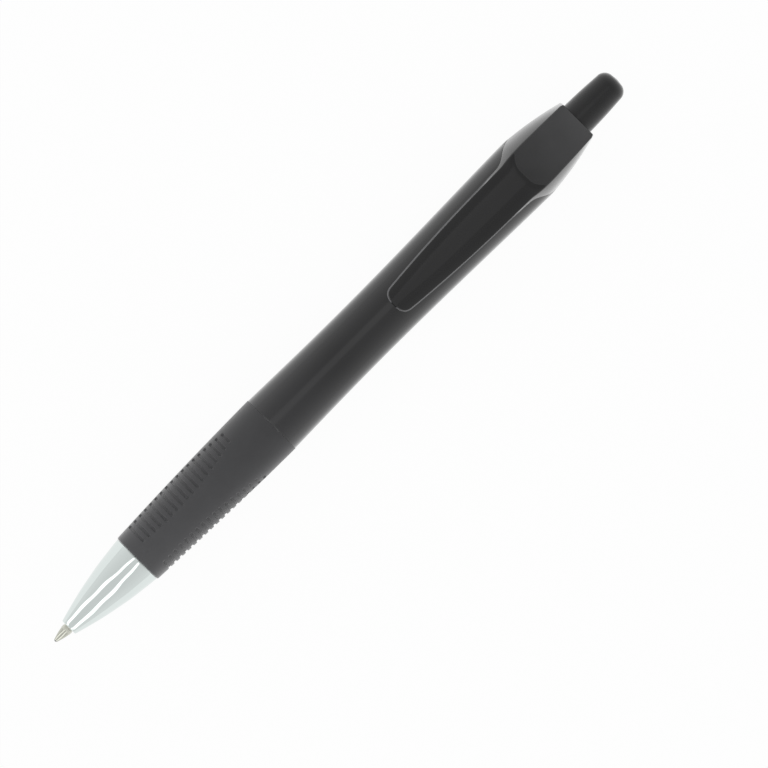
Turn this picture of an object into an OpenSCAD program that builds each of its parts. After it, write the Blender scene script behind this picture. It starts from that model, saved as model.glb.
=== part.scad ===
// Retractable gel pen: lies along +X with its point at -X, its clip on top and its axis level

/* [Overall] */
// Length over all with the point out
overall_len = 146; // [140:0.5:180]
// Largest diameter of the body, just in front of the collar
body_d = 13; // [12.6:0.1:16]

/* [Nose] */
// How far the point stands out of the nose when it writes
tip_out = 3.6; // [3:0.1:4.4]
// Visible length of the nose cone
nose_len = 17.8; // [16:0.1:24]
// Wall of the nose around the point at its front edge
nose_rim = 0.48; // [0.4:0.02:0.8]
// How far the nose lies below the grip where they meet
nose_step = 0.2; // [0:0.05:0.4]
// How far the nose's outline bows out from a straight cone
nose_bow = 0.47; // [0.2:0.01:0.8]
// Length of the narrow bore that guides the point
guide_len = 6.2; // [5.6:0.1:7]
// Length of the wider spring chamber behind it
chamber_len = 6.2; // [4:0.1:8]
// Length of the screwed shank inside the barrel
shank_len = 7.8; // [6:0.1:10]
// Wall of the screwed shank
shank_wall = 0.55; // [0.45:0.05:0.7]

/* [Grip] */
// Length of the rubber sleeve
grip_len = 34.9; // [30:0.05:45]
// Wall of the sleeve at its front
grip_front_wall = 0.88; // [0.7:0.02:1.6]
// Wall of the sleeve at its rear
grip_rear_wall = 1.81; // [1.4:0.01:2.4]
// How far the sleeve's outline bows out from a straight cone
grip_bow = 0.18; // [0:0.01:0.3]
// Number of ribbed pads around the sleeve
pad_count = 3; // [2:1:3]
// Angle of the first pad from the clip
pad_angle = -48; // [-60:1:60]
// Grooves in each pad
groove_count = 18; // [8:1:18]
// Distance from groove to groove
groove_pitch = 1.41; // [1.2:0.01:1.5]
// Width of one groove
groove_w = 0.6; // [0.4:0.05:0.8]
// Distance from the sleeve's front to the first groove
groove_start = 3.2; // [2:0.1:6]
// Half the angle that the widest grooves run around the sleeve
pad_half_angle = 33; // [20:1:40]
// Grooves at the front of each pad that run the full angle, before the pad narrows
pad_full_grooves = 4; // [2:1:6]
// How much of its width a pad loses by its last groove
pad_taper = 0.6; // [0.2:0.05:0.7]

/* [Barrel] */
// How far the barrel lies below the grip where they meet
barrel_step = 0.08; // [0:0.02:0.4]
// Diameter of the barrel at its waist
waist_d = 11.57; // [11.5:0.01:14]
// Distance of the waist behind the grip
waist_at = 24.1; // [18:0.1:28]
// Wall of the tube under the grip
front_wall = 0.65; // [0.5:0.05:0.7]
// Diameter of the round snap hole at the back
snap_hole_d = 3; // [2.4:0.1:3.4]
// How far the snap pip in that hole lies below the barrel's surface
snap_sink = 0.29; // [0.1:0.01:0.6]

/* [Collar and clip] */
// Length of the collar from its split line, at the sides, to its end
cap_len = 11.6; // [11:0.1:14]
// Slant of the split line, from square across
split_tilt = 30; // [28:1:36]
// Distance of the body's crest in front of the collar's end
crest_back = 13.2; // [12.8:0.1:15]
// How far the collar's outline bows out from a straight cone
cap_bow = 0.34; // [0.3:0.01:0.6]
// Thickness of the collar around the button at its end
end_rim = 0.77; // [0.4:0.01:0.9]
// Length of the collar's end wall that guides the button
end_wall = 4.5; // [3.5:0.1:5.5]
// Width of the flat facet at the collar's end
facet_end_w = 8.1; // [7:0.1:8.4]
// Width of the flat facet at the bend of the clip
facet_bend_w = 8.7; // [8.3:0.1:9.5]
// Height of the facet's end above the button's hole
facet_rise = 1.1; // [0.9:0.1:2]
// Length of the facet along the pen
facet_len = 14.3; // [13:0.1:16]
// Distance of the clip's hinge line in front of the bend
hinge_back = 1.1; // [1:0.1:2]
// Length of the clip arm in front of its hinge line
clip_len = 32.7; // [26:0.1:40]
// Width of the clip arm at its root
clip_root_w = 8.3; // [7:0.1:8.3]
// Width of the clip arm where its rounded end begins
clip_end_w = 5.8; // [5:0.1:7]
// Corner radius of the clip's rounded end
clip_round = 2; // [1:0.1:2.4]
// How far each edge of the clip arm bows out
clip_bow = 0.39; // [0:0.01:0.6]
// Thickness of the clip arm at its root
clip_thick = 1.7; // [1.3:0.1:2.2]
// Thickness of the clip arm at its end
clip_end_thick = 1.3; // [1:0.1:1.6]
// Gap between the clip's root and the barrel
clip_gap = 0.85; // [0.6:0.05:1.5]
// Gap between the clip's inner bead and the barrel
bead_gap = 0.15; // [0.1:0.05:0.4]
// Distance of the bead from the clip's end
bead_at = 3.2; // [2.5:0.1:6]
// Radius of the bead
bead_r = 0.85; // [0.6:0.05:0.9]
// How far the bead stands below the clip arm
bead_depth = 0.55; // [0.3:0.05:0.8]

/* [Button and click mechanism] */
// Diameter of the button where it leaves the collar
button_d = 6.87; // [6.4:0.01:8.3]
// Diameter of the button where its rounded end begins
button_end_d = 6.2; // [5.8:0.1:6.4]
// How far the button stands out of the collar
button_out = 10.3; // [8:0.1:14]
// Radius of the button's rounded end
button_round = 2; // [0.8:0.1:2.4]
// Wall of the button
button_wall = 0.93; // [0.7:0.01:1.1]
// Travel of the refill from writing to drawn in
travel = 5; // [4.6:0.1:5.2]
// Further travel past the latch when the button is pressed home
over_travel = 1.2; // [0.8:0.1:1.4]
// Wall of the guide sleeve
sleeve_wall = 0.9; // [0.6:0.05:1]
// Length of the guide ribs in the sleeve
rib_len = 11.4; // [10:0.1:14]
// Length of the plain skirt in front of the ribs
skirt_len = 9.1; // [8:0.1:12]
// Distance of the snap pip behind the sleeve's front
snap_at = 4.7; // [3:0.1:6]
// Length of the hollow in the collar behind the sleeve
cavity_len = 4.7; // [4:0.1:5]
// Number of fins on the rotor and on the button
fin_count = 4; // [3:1:5]
// Height of one fin
fin_h = 0.53; // [0.4:0.01:0.8]
// Width of one fin
fin_w = 1.4; // [1:0.1:1.8]
// Length of a rotor fin
rotor_fin_len = 3.3; // [2.5:0.1:4]
// Length of the rotor in front of its fins
rotor_nose_len = 0.9; // [0.6:0.1:2]
// Length of the rotor behind its fins, up to its teeth
rotor_tail_len = 1.2; // [0.8:0.1:2]
// Length of a button fin
button_fin_len = 7.1; // [6.5:0.1:8]
// Height of the cam teeth
tooth_h = 0.6; // [0.4:0.05:0.9]
// Length of the rotor's pilot inside the button
pilot_len = 3; // [2:0.1:5]
// Slope of the cam faces on ribs and fins
cam_slope = 20; // [10:1:30]

/* [Refill] */
// Outer diameter of the ink tube
tube_d = 6.1; // [5.4:0.01:7.4]
// Wall of the ink tube
tube_wall = 0.6; // [0.4:0.05:0.8]
// Diameter of the writing point's body
point_d = 2.3; // [2.2:0.02:2.8]
// Diameter of the ball
ball_d = 0.7; // [0.5:0.1:1]
// Length of the point's cone
cone_len = 4.4; // [3.6:0.1:5]
// How far the cone's outline bows out
cone_bow = 0.1; // [0:0.01:0.15]
// How far the ball stands out of the cone
ball_out = 0.21; // [0.15:0.01:0.25]
// Length of the point inside its holder
point_seat = 3.8; // [3:0.1:5]
// Wall of the holder around the point
holder_wall = 0.6; // [0.4:0.05:0.7]
// Length of the holder's flange, which the spring pushes on
flange_len = 2; // [1.5:0.1:3]
// Length of the holder inside the tube
holder_plug_len = 4.5; // [3:0.1:6]
// Length of the ink column behind the holder
ink_len = 41; // [10:1:60]
// Length of the grease plug behind the ink
follower_len = 8; // [4:0.5:12]
// Length of the tail plug inside the tube
tail_len = 2.5; // [1.5:0.1:4]
// Length of the tail plug's flange behind the tube
tail_flange_len = 1; // [0.6:0.1:2]
// Length of the return spring while writing
spring_len = 12.5; // [10:0.1:13]
// Wire of the return spring
wire_d = 0.4; // [0.3:0.02:0.45]
// Turns of the return spring
spring_turns = 8; // [6:1:12]

/* [Hidden] */
// Clearances
joint_gap = 0.05;
point_clear = 0.12;
spring_clear = 0.2;
chamber_clear = 0.15;
refill_clear = 0.35;
button_clear = 0.085;
rib_clear = 0.3;
fin_clear = 0.12;
slot_clear = 0.3;
end_clear = 0.3;
rotor_clear = 0.18;
latch_gap = 0.3;
tooth_gap = 0.3;
hinge_clear = 0.07;
ball_clear = 0.012;
film = 0.02;
cut = 1;

// Radii, from the inside out
body_r = body_d / 2;
waist_r = waist_d / 2;
point_r = point_d / 2;
ball_r = ball_d / 2;
nose_bore_r = point_r + point_clear;
holder_r = point_r + holder_wall;
spring_r = holder_r + spring_clear + wire_d / 2;
chamber_r = spring_r + wire_d / 2 + chamber_clear;
tube_r = tube_d / 2;
tube_in_r = tube_r - tube_wall;
shank_in_r = tube_r + 2 * joint_gap;
shank_r = shank_in_r + shank_wall;
socket_r = shank_r + joint_gap;
front_tube_r = socket_r + front_wall;
grip_in_r = front_tube_r + film;
grip_front_r = grip_in_r + grip_front_wall;
grip_rear_r = grip_in_r + grip_rear_wall;
barrel_front_r = grip_rear_r - barrel_step;
nose_front_r = nose_bore_r + nose_rim;
nose_base_r = grip_front_r - nose_step;
ground_r = max(body_r, grip_rear_r);
bore_r = tube_r + refill_clear;
button_r = button_d / 2;
button_in_r = button_r - button_wall;
button_bore_r = button_r + button_clear;
cap_end_r = button_bore_r + end_rim;
rib_r = button_r + rib_clear;
slot_r = rib_r + fin_h + fin_clear;
fin_r = rib_r + fin_h;
sleeve_r = slot_r + sleeve_wall;
rear_bore_r = sleeve_r + joint_gap;
rotor_r = rib_r - rotor_clear;
pilot_r = button_in_r - fin_clear;

// Stations along the pen, from the ball
nose_s = tip_out;
grip_s = nose_s + nose_len;
front_s = grip_s + joint_gap;
barrel_s = grip_s + grip_len;
waist_s = barrel_s + waist_at;
cap_end_s = overall_len - button_out;
crest_s = cap_end_s - crest_back;
split_s = cap_end_s - cap_len;
bend_s = cap_end_s - facet_len;
hinge_s = bend_s - hinge_back;
clip_end_s = hinge_s - clip_len;
stop_s = cap_end_s - end_wall;
sleeve_end_s = stop_s - cavity_len;
rib_s = sleeve_end_s - rib_len;
sleeve_s = rib_s - skirt_len;
snap_s = sleeve_s + snap_at;
rotor_fin_end_s = rib_s - latch_gap;
rotor_fin_s = rotor_fin_end_s - rotor_fin_len;
rotor_s = rotor_fin_s - rotor_nose_len;
rotor_end_s = rotor_fin_end_s + rotor_tail_len;
button_s = rotor_end_s + tooth_h + tooth_gap;
button_fin_end_s = stop_s - travel - 2 * joint_gap;
button_fin_s = button_fin_end_s - button_fin_len;
tail_s = rotor_s - joint_gap;
seat_s = nose_s + guide_len;
chamber_s = seat_s + chamber_len;
shank_end_s = grip_s + shank_len;
spring_s = seat_s + joint_gap;
flange_s = spring_s + spring_len + joint_gap;
tube_s = flange_s + flange_len;
holder_s = seat_s + over_travel + end_clear;
point_end_s = holder_s + point_seat;
holder_end_s = tube_s + holder_plug_len;
ink_end_s = holder_end_s + ink_len;
follower_end_s = ink_end_s + follower_len;
tube_end_s = tail_s - tail_flange_len;

// Heights above the axis, on the clip side
bend_h = body_r + clip_gap + clip_thick;
facet_end_h = button_bore_r + facet_rise;
hinge_h = bend_h - clip_thick / 2;

// Small details
nose_lip = 0.35;
vent_r = 0.6;
ink_bore_r = 0.95;
channel_r = 0.55;
ball_lip = 0.1;
hair_r = 0.06;
hair_turns = 10;
coil_steps = 16;
wire_sides = 8;

$fn = 96;

// Points of an outline from [r0, s0] to [r1, s1] that stands off its chord by bow in the middle
function bowed(r0, s0, r1, s1, bow, n = 12) =
    [for (i = [0:n]) let (t = i / n) [r0 + (r1 - r0) * t + 4 * bow * t * (1 - t), s0 + (s1 - s0) * t]];

// A closed outline seen from above, from an edge given on one side as [half width, place]
function both_sides(edge) = concat([for (p = edge) [-p[1], p[0]]],
    [for (i = [len(edge) - 1:-1:0]) [-edge[i][1], -edge[i][0]]]);

// Half a cosine wave, from 0 at u = 0 to 1 at u = 1
function swell(u) = (1 - cos(180 * u)) / 2;

// Points of the barrel's flank from its waist to one end, along that share of a half wave
function flank(s_end, r_end, share, n = 10) =
    [for (i = [1:n]) let (t = i / n)
        [waist_r + (r_end - waist_r) * swell(share * t) / swell(share), waist_s + (s_end - waist_s) * t]];

// The body's outline from the grip to the end of the collar
front_share = 0.55;
rear_share = 0.8;
front_flank = flank(barrel_s, barrel_front_r, front_share);
body_outline = concat([for (i = [len(front_flank) - 1:-1:0]) front_flank[i]], [[waist_r, waist_s]],
    flank(crest_s, body_r, rear_share), bowed(body_r, crest_s, cap_end_r, cap_end_s, cap_bow));
grip_outline = bowed(grip_front_r, front_s, grip_rear_r, barrel_s, grip_bow);

// Radius of the sleeve's outline at a share t of its length
function grip_r(t) = grip_front_r + (grip_rear_r - grip_front_r) * t + 4 * grip_bow * t * (1 - t);

// Radius of the barrel's outline at a place on its rear flank
function barrel_r(s) =
    let (t = (s - waist_s) / (crest_s - waist_s))
    waist_r + (body_r - waist_r) * swell(rear_share * t) / swell(rear_share);

// Lays what is drawn along Z, with the clip towards X, on the ground along X with the clip on top
module lay() {
    translate([-overall_len / 2, 0, ground_r]) rotate(a = 180, v = [1, 0, 1]) children();
}

// A plain bore or rod along the pen
module rod(r, s0, s1) {
    translate([0, 0, s0]) cylinder(r = r, h = s1 - s0);
}

// A round bar across the pen, at a height above the axis
module crosswise(r, h, s) {
    translate([h, 0, s]) rotate([90, 0, 0]) cylinder(r = r, h = 2 * body_d, center = true);
}

// All that lies in front of the slanted split line, or behind it
module split_side(behind) {
    side = 2 * overall_len;
    translate([0, 0, split_s]) rotate([0, split_tilt, 0])
        translate([-side / 2, -side / 2, behind ? 0 : -side]) cube(side);
}

// A ring of equal pieces around the pen
module around(count) {
    for (i = [0:count - 1]) rotate([0, 0, 360 * i / count]) children();
}

// A fin that stands out along X, with its rear face sloped as a cam
module fin(r, s0, s1, slope) {
    difference() {
        translate([0, -fin_w / 2, s0]) cube([r, fin_w, s1 - s0]);
        translate([0, -fin_w / 2, s1]) rotate([-slope, 0, 0]) cube([2 * r, 2 * fin_w, fin_w]);
    }
}

// V notches that leave a ring of cam teeth, with their crests at crest_at and open towards dir
module tooth_notches(crest_at, dir) {
    count = 2 * fin_count;
    half_w = button_r * tan(180 / count);
    around(count) rotate([0, 0, 180 / count]) translate([0, 0, crest_at]) rotate([90, 0, 90])
        linear_extrude(2 * button_r)
            polygon([[-half_w, 0], [0, -dir * tooth_h], [half_w, 0], [half_w, dir * cut],
                [-half_w, dir * cut]]);
}

// A round wire swept along points of its centre line, with flat closed ends
module wire(points, r) {
    sides = wire_sides;
    last = len(points) - 1;
    rings = [for (i = [0:last])
        let (d = points[min(i + 1, last)] - points[max(i - 1, 0)])
        let (t = d / norm(d))
        let (a = cross(t, [0, 0, 1]))
        let (u = norm(a) > 0.01 ? a / norm(a) : [1, 0, 0])
        let (v = cross(t, u))
        [for (k = [0:sides - 1]) points[i] + r * (cos(360 * k / sides) * u + sin(360 * k / sides) * v)]];
    skin = [for (i = [0:last - 1], k = [0:sides - 1], half = [0, 1])
        let (a = i * sides + k, b = i * sides + (k + 1) % sides)
        half == 0 ? [a, b, b + sides] : [a, b + sides, a + sides]];
    caps = [[for (k = [sides - 1:-1:0]) k], [for (k = [0:sides - 1]) last * sides + k]];
    polyhedron([for (ring = rings) for (p = ring) p], concat(skin, caps));
}

module barrel() color("#2a2a2c") lay() {
    difference() {
        intersection() {
            rotate_extrude()
                polygon(concat([[0, front_s], [front_tube_r, front_s], [front_tube_r, barrel_s]],
                    body_outline, [[0, cap_end_s]]));
            split_side(false);
        }
        rod(socket_r, grip_s, shank_end_s + joint_gap);
        rod(bore_r, grip_s, cap_end_s + cut);
        rod(rear_bore_r, sleeve_s - joint_gap, cap_end_s + cut);
        translate([0, 0, snap_s]) rotate([0, -90, 0]) cylinder(d = snap_hole_d, h = 2 * body_r);
    }
}

// One groove of a pad, running around the sleeve to both sides of the pad's middle
module pad_groove(i) {
    s = groove_start + groove_pitch * i;
    past = max(0, (i - pad_full_grooves) / (groove_count - pad_full_grooves));
    half = pad_half_angle * (1 - pad_taper * pow(past, 2));
    translate([0, 0, grip_s + s]) rotate([0, 0, -half]) rotate_extrude(angle = 2 * half)
        translate([grip_r(s / grip_len), 0]) circle(d = groove_w);
}

module grip_sleeve() color("#464648") lay() {
    difference() {
        rotate_extrude()
            polygon(concat([[grip_in_r, front_s]], grip_outline, [[grip_in_r, barrel_s]]));
        for (p = [0:pad_count - 1], i = [0:groove_count - 1])
            rotate([0, 0, pad_angle + 360 * p / pad_count]) pad_groove(i);
    }
}

module nose_cone() color("#c9cdcc") lay() {
    rotate_extrude()
        polygon(concat([[nose_bore_r, nose_s], [nose_front_r - nose_lip, nose_s]],
            bowed(nose_front_r, nose_s + nose_lip, nose_base_r, grip_s, nose_bow),
            [[shank_r, grip_s], [shank_r, shank_end_s], [shank_in_r, shank_end_s], [shank_in_r, chamber_s],
            [chamber_r, chamber_s], [chamber_r, seat_s], [nose_bore_r, seat_s]]));
}

// The block under the flat facet, which carries the clip
module facet_block() {
    intersection() {
        rotate([90, 0, 0]) linear_extrude(2 * body_d, center = true)
            polygon([[0, cap_end_s], [facet_end_h, cap_end_s], [bend_h, bend_s], [bend_h, hinge_s],
                [0, hinge_s]]);
        rotate([0, 90, 0]) linear_extrude(2 * body_d)
            polygon(both_sides([[facet_end_w / 2, cap_end_s], [facet_bend_w / 2, bend_s],
                [facet_bend_w / 2, hinge_s]]));
    }
}

module end_cap() color("#3a3a3c") lay() {
    difference() {
        intersection() {
            union() {
                rotate_extrude()
                    polygon(concat([[0, barrel_s]], body_outline, [[0, cap_end_s]]));
                facet_block();
            }
            split_side(true);
        }
        rod(rear_bore_r, barrel_s, sleeve_end_s + joint_gap);
        rod(slot_r + joint_gap, barrel_s, stop_s);
        rod(button_bore_r, barrel_s, cap_end_s + cut);
        crosswise(clip_thick / 2 + hinge_clear, hinge_h, hinge_s);
    }
}

// Outline of the clip arm seen from above, on one side, from its root to its rounded end
clip_round_s = clip_end_s + clip_round;
clip_edge = concat([[clip_root_w / 2, hinge_s + clip_thick]],
    bowed(clip_root_w / 2, hinge_s, clip_end_w / 2, clip_round_s, clip_bow),
    [for (a = [15:15:90])
        [clip_end_w / 2 - clip_round * (1 - cos(a)), clip_round_s - clip_round * sin(a)]]);

module pocket_clip() color("#2e2e30") lay() {
    bead_s = clip_end_s + bead_at;
    bead_h = barrel_r(bead_s) + bead_gap;
    end_h = bead_h + bead_depth;
    intersection() {
        union() {
            rotate([90, 0, 0]) linear_extrude(2 * body_d, center = true)
                polygon([[bend_h - clip_thick, hinge_s], [bend_h, hinge_s],
                    [end_h + clip_end_thick, clip_end_s], [end_h, clip_end_s]]);
            crosswise(clip_thick / 2 - film, hinge_h, hinge_s);
            crosswise(bead_r, bead_h + bead_r, bead_s);
        }
        rotate([0, 90, 0]) linear_extrude(2 * body_d)
            polygon(both_sides(clip_edge));
    }
}

module push_button() color("#262628") lay() {
    taper_s = cap_end_s + 2 * over_travel;
    round_s = overall_len - button_round;
    round_r = button_end_d / 2 - button_round;
    difference() {
        union() {
            rotate_extrude()
                polygon(concat([[0, button_s], [button_r, button_s], [button_r, taper_s]],
                    [for (a = [0:15:90])
                        [round_r + button_round * cos(a), round_s + button_round * sin(a)]],
                    [[0, overall_len]]));
            around(fin_count) fin(fin_r, button_fin_s, button_fin_end_s, 0);
        }
        tooth_notches(button_s, -1);
        rod(button_in_r, button_s - cut, overall_len - button_round - button_wall);
    }
}

module cam_sleeve() color("#9a9c9c") lay() {
    slot_w = fin_w + slot_clear;
    difference() {
        union() {
            rod(sleeve_r, sleeve_s, sleeve_end_s);
            translate([0, 0, snap_s]) rotate([0, -90, 0])
                cylinder(d = snap_hole_d - 2 * fin_clear, h = barrel_r(snap_s) - snap_sink);
        }
        rod(slot_r, sleeve_s - cut, rib_s);
        rod(rib_r, sleeve_s - cut, sleeve_end_s + cut);
        intersection() {
            rod(slot_r, sleeve_s, sleeve_end_s + cut);
            around(fin_count) translate([0, -slot_w / 2, sleeve_s]) cube([body_r, slot_w, overall_len]);
        }
        intersection() {
            rod(slot_r, sleeve_s, sleeve_end_s);
            around(fin_count) rotate([0, 0, 180 / fin_count]) translate([0, -body_r / 2, rib_s])
                rotate([cam_slope, 0, 0]) translate([0, 0, -body_r]) cube([body_r, 2 * body_r, body_r]);
        }
    }
}

module cam_rotor() color("#d8d8d2") lay() {
    difference() {
        union() {
            rod(rotor_r, rotor_s, rotor_end_s + tooth_h);
            around(fin_count) fin(fin_r, rotor_fin_s, rotor_fin_end_s, cam_slope);
        }
        tooth_notches(rotor_end_s + tooth_h, 1);
    }
    rod(pilot_r, rotor_s, button_s + pilot_len);
}

// Points of a coil's centre line that winds out from the axis over lead turns
function coil(r, s0, s1, turns, lead) =
    [for (i = [0:turns * coil_steps])
        let (t = i / coil_steps, out = r * (lead > 0 ? min(1, t / lead) : 1))
        [out * cos(360 * t), out * sin(360 * t), s0 + (s1 - s0) * t / turns]];

module return_spring() color("#a8abad") lay() {
    r = wire_d / 2;
    wire(coil(spring_r, spring_s + r, spring_s + spring_len - r, spring_turns, 0), r);
}

module refill_tube() color("#dfe3e2") lay() {
    difference() {
        rod(tube_r, tube_s, tube_end_s);
        rod(tube_in_r, tube_s - cut, tube_end_s + cut);
    }
}

module gel_ink() color("#101014") lay() {
    rod(tube_in_r - film, holder_end_s + film, ink_end_s);
    rod(ink_bore_r - film, point_end_s + film, ink_end_s);
}

module ink_follower() color("#d9d2b8") lay() {
    rod(tube_in_r - film, ink_end_s + film, follower_end_s);
}

module tip_holder() color("#e8e8e4") lay() {
    difference() {
        union() {
            rod(holder_r, holder_s, tube_s);
            rod(tube_r - joint_gap, flange_s, tube_s);
            rod(tube_in_r - film, flange_s, holder_end_s);
        }
        rod(point_r + film, holder_s - cut, point_end_s);
        rod(ink_bore_r, holder_s, holder_end_s + cut);
    }
}

module point_body() color("#b5b5a5") lay() {
    seat_r = ball_r + ball_clear;
    difference() {
        rotate_extrude()
            polygon(concat([[0, ball_out]],
                bowed(ball_r + ball_lip, ball_out, point_r, cone_len, cone_bow, 6),
                [[point_r, point_end_s - film], [0, point_end_s - film]]));
        translate([0, 0, ball_r]) sphere(r = seat_r);
        rod(channel_r, ball_d + 2 * joint_gap, point_end_s);
    }
}

module writing_ball() color("#8c8f94") lay() {
    translate([0, 0, ball_r]) sphere(d = ball_d);
}

module ball_spring() color("#b0b3b5") lay() {
    coil_s = ball_d + joint_gap + hair_r;
    wire(coil(channel_r - 2 * hair_r - film, coil_s, point_end_s - cut, hair_turns, 1), hair_r);
}

module tail_plug() color("#3c3f44") lay() {
    difference() {
        union() {
            rod(tube_in_r - film, tube_end_s - tail_len, tail_s);
            rod(tube_r, tube_end_s, tail_s);
        }
        rod(vent_r, tube_end_s - tail_len - cut, tail_s + cut);
    }
}

barrel();
grip_sleeve();
nose_cone();
end_cap();
pocket_clip();
push_button();
cam_sleeve();
cam_rotor();
return_spring();
refill_tube();
gel_ink();
ink_follower();
tip_holder();
point_body();
writing_ball();
ball_spring();
tail_plug();
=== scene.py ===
import math

import bmesh
import bpy
import numpy as np
from mathutils import Matrix, Vector


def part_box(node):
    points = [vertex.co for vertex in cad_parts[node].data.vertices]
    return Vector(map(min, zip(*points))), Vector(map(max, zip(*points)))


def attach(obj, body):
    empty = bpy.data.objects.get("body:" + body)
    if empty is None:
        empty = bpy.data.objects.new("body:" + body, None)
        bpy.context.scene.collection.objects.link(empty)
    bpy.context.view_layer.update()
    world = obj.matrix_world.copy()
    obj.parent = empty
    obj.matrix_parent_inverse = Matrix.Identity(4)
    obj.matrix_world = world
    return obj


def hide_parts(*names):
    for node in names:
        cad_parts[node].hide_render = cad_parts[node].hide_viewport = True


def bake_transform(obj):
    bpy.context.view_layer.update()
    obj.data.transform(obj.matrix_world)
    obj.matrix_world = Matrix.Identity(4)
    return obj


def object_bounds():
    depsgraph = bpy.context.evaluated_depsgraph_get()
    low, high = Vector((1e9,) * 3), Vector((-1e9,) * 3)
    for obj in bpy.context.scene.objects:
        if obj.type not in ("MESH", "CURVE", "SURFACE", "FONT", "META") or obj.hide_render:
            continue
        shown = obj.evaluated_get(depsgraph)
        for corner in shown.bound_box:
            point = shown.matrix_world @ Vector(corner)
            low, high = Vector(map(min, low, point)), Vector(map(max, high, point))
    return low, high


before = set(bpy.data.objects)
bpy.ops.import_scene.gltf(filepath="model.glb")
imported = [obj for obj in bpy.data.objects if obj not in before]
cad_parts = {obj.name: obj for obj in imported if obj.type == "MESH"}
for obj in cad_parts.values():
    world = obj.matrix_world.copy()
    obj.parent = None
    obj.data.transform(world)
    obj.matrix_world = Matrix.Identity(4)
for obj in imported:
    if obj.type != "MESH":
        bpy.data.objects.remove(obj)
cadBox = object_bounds()
mm = 0.001
weldGap = 2e-7                     # metres, mesh points closer than this become one
quarters = (0.25, 0.5, 0.75, 1.0)  # steps along a rounded edge

# The pen's own measure: s runs from the ball to the button, y to the left, z up from the axis, in mm
noseLow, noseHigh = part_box("nose_cone")
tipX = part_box("writing_ball")[0].x
axisY = (noseLow.y + noseHigh.y) / 2
axisZ = (noseLow.z + noseHigh.z) / 2


def station(node, end):
    return (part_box(node)[end].x - tipX) / mm


noseFront = station("nose_cone", 0)
gripFront = station("grip_sleeve", 0)
gripRear = station("grip_sleeve", 1)
clipEnd = station("pocket_clip", 0)
capEnd = station("end_cap", 1)
penEnd = station("push_button", 1)
shankEnd = station("nose_cone", 1)
sleeveStart = station("cam_sleeve", 0)
sleeveEnd = station("cam_sleeve", 1)
print("frame loaded, pen", round(penEnd, 2), "mm long")


# Mesh tools
def toWorld(points):
    s, y, z = np.asarray(points, float).T
    return np.stack([tipX + s * mm, axisY + y * mm, axisZ + z * mm], 1)


def addPoints(skin, block):
    start = len(skin["points"])
    skin["points"].extend(np.asarray(block, float).tolist())
    return np.arange(start, len(skin["points"]))


def stitch(skin, lower, upper):  # quads between two rings
    count = len(lower)
    for i in range(count):
        j = (i + 1) % count
        skin["faces"].append((lower[i], lower[j], upper[j], upper[i]))
        skin["slots"].append(0)


def newSkin():
    return {"points": [], "faces": [], "slots": []}


def ring(s, r, turn):  # points around the axis, turn counted from the clip
    s, r, turn = np.broadcast_arrays(s, r, turn)
    return np.stack([s, -r * np.sin(turn), r * np.cos(turn)], 1)


def makePiece(name, skin, materials, sharp=32):
    mesh = bpy.data.meshes.new(name)
    mesh.from_pydata(toWorld(skin["points"]).tolist(), [], [tuple(map(int, f)) for f in skin["faces"]])
    mesh.polygons.foreach_set("material_index", skin["slots"])
    work = bmesh.new()
    work.from_mesh(mesh)
    bmesh.ops.delete(work, geom=[v for v in work.verts if not v.link_faces], context="VERTS")
    bmesh.ops.remove_doubles(work, verts=work.verts, dist=weldGap)
    bmesh.ops.dissolve_degenerate(work, edges=work.edges, dist=weldGap / 2)
    bmesh.ops.recalc_face_normals(work, faces=work.faces)
    work.to_mesh(mesh)
    work.free()
    mesh.shade_smooth()
    mesh.set_sharp_from_angle(angle=math.radians(sharp))
    for material in materials:
        mesh.materials.append(material)
    piece = bpy.data.objects.new(name, mesh)
    bpy.context.scene.collection.objects.link(piece)
    return piece


def latheSkin(profile, columns):  # profile rows are (s, radius), or (s, function of the turn)
    skin = newSkin()
    turns = 2 * math.pi * np.arange(columns) / columns
    rings = [addPoints(skin, ring(s, r(turns) if callable(r) else r, turns)) for s, r in profile]
    for lower, upper in zip(rings, rings[1:] + rings[:1]):
        stitch(skin, lower, upper)
    return skin


def roundCorner(before, corner, after, radius, steps=4):  # points of a corner of an outline, rounded off
    before, corner, after = (np.array(p, float) for p in (before, corner, after))
    start = corner + (before - corner) / np.linalg.norm(before - corner) * radius
    end = corner + (after - corner) / np.linalg.norm(after - corner) * radius
    ts = np.linspace(0, 1, steps + 1)[:, None]
    return ((1 - ts) ** 2 * start + 2 * ts * (1 - ts) * corner + ts**2 * end).tolist()


def smoothStep(x):
    x = np.clip(x, 0, 1)
    return x * x * (3 - 2 * x)


def curveThrough(knots):  # a smooth curve through a few (place, value) knots
    at, value = np.array(knots, float).T
    slope = np.gradient(value, at)

    def curve(x):
        x = np.clip(x, at[0], at[-1])
        i = np.clip(np.searchsorted(at, x) - 1, 0, len(at) - 2)
        h = at[i + 1] - at[i]
        t = (x - at[i]) / h
        return ((1 + 2 * t) * (1 - t) ** 2 * value[i] + t * (1 - t) ** 2 * h * slope[i]
                + t * t * (3 - 2 * t) * value[i + 1] - t * t * (1 - t) * h * slope[i + 1])

    return curve


# Material tools
def toLinear(colour):
    parts = [int(colour[i:i + 2], 16) / 255 for i in (1, 3, 5)]
    return [c / 12.92 if c <= 0.04045 else ((c + 0.055) / 1.055) ** 2.4 for c in parts] + [1.0]


def addNode(tree, kind, settings=None, links=None):
    node = tree.nodes.new(kind)
    for key, value in (settings or {}).items():
        if isinstance(key, int) or key in node.inputs:
            node.inputs[key].default_value = value
        else:
            setattr(node, key, value)
    for key, (source, output) in (links or {}).items():
        tree.links.new(source.outputs[output], node.inputs[key])
    return node


def newMaterial(name):
    material = bpy.data.materials.new(name)
    material.use_nodes = True
    tree = material.node_tree
    tree.nodes.clear()
    return material, tree


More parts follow.
